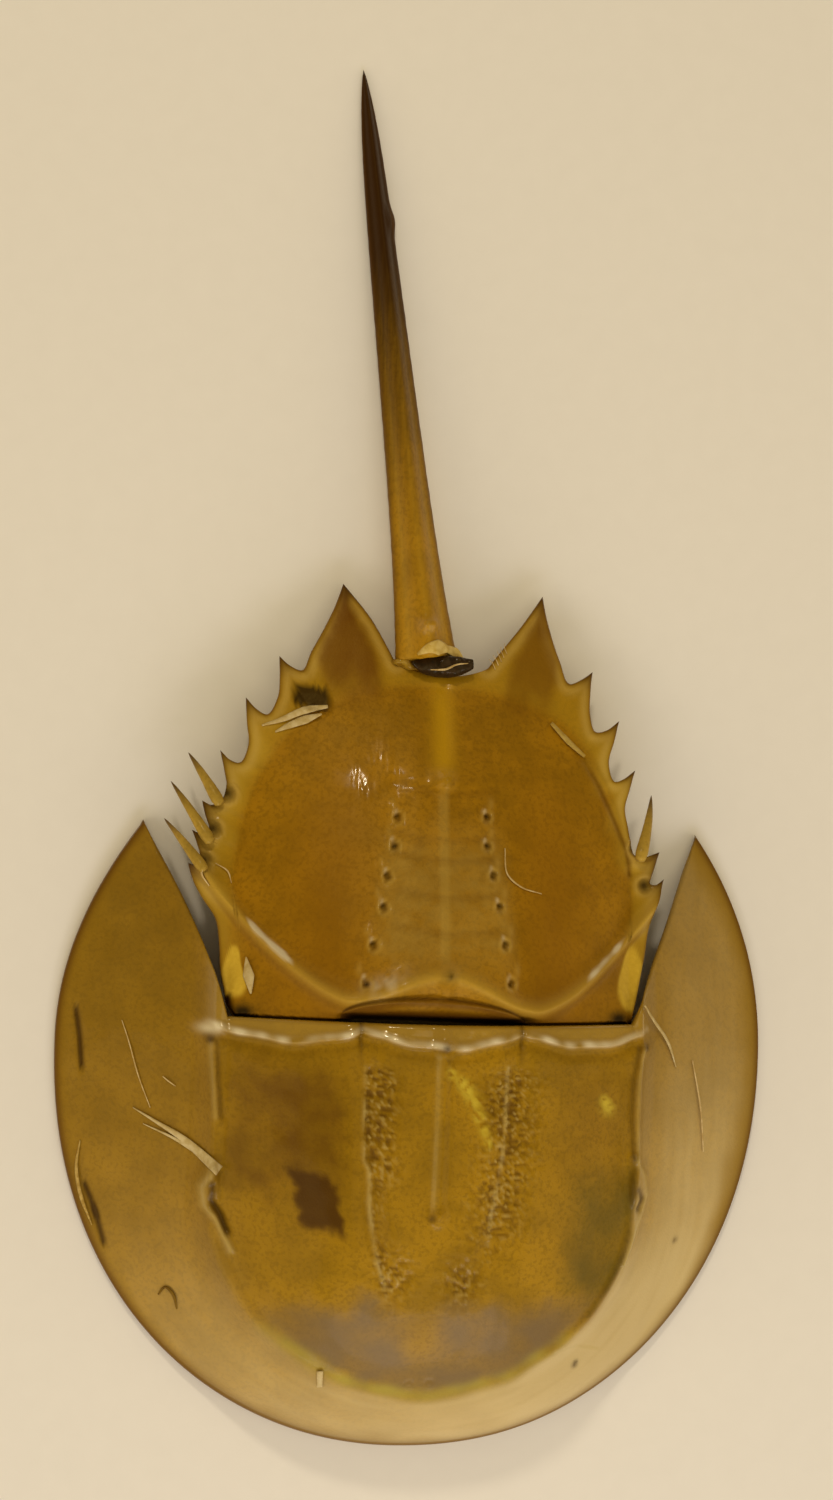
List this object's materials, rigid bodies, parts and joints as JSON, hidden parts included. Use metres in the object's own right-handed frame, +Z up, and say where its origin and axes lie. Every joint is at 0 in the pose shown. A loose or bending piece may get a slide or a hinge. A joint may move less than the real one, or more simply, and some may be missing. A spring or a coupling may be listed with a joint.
{
  "type": "horseshoe crab shell",
  "caption": "Dried back shell of a horseshoe crab: domed front shield with rear lobes, spiny rear shield, loose side spines and a long tail spine.",
  "frame": {"origin": "centre of the overall box in plan, on the surface that the shell lies on", "axes": "+Y from the front shield to the tail tip, +Z up out of the back, +X to the right in a view from above with the tail up"},
  "size_m": [0.132, 0.2532, 0.0372],
  "materials": {
    "front_shield_chitin": "glossy amber-olive horn, paler and translucent toward the rim",
    "rear_shield_chitin": "glossy amber-brown horn with fine grain",
    "tail_spine_chitin": "satin golden horn, dark brown toward the tip",
    "side_spine_chitin": "golden horn with dark tips"
  },
  "bodies": {
    "root": {"prosoma": "front_shield_chitin", "opisthosoma": "rear_shield_chitin", "telson": "tail_spine_chitin", "movable_spine_left_rear": "side_spine_chitin", "movable_spine_left_mid": "side_spine_chitin", "movable_spine_left_front": "side_spine_chitin", "movable_spine_right": "side_spine_chitin"}
  },
  "joints": []
}
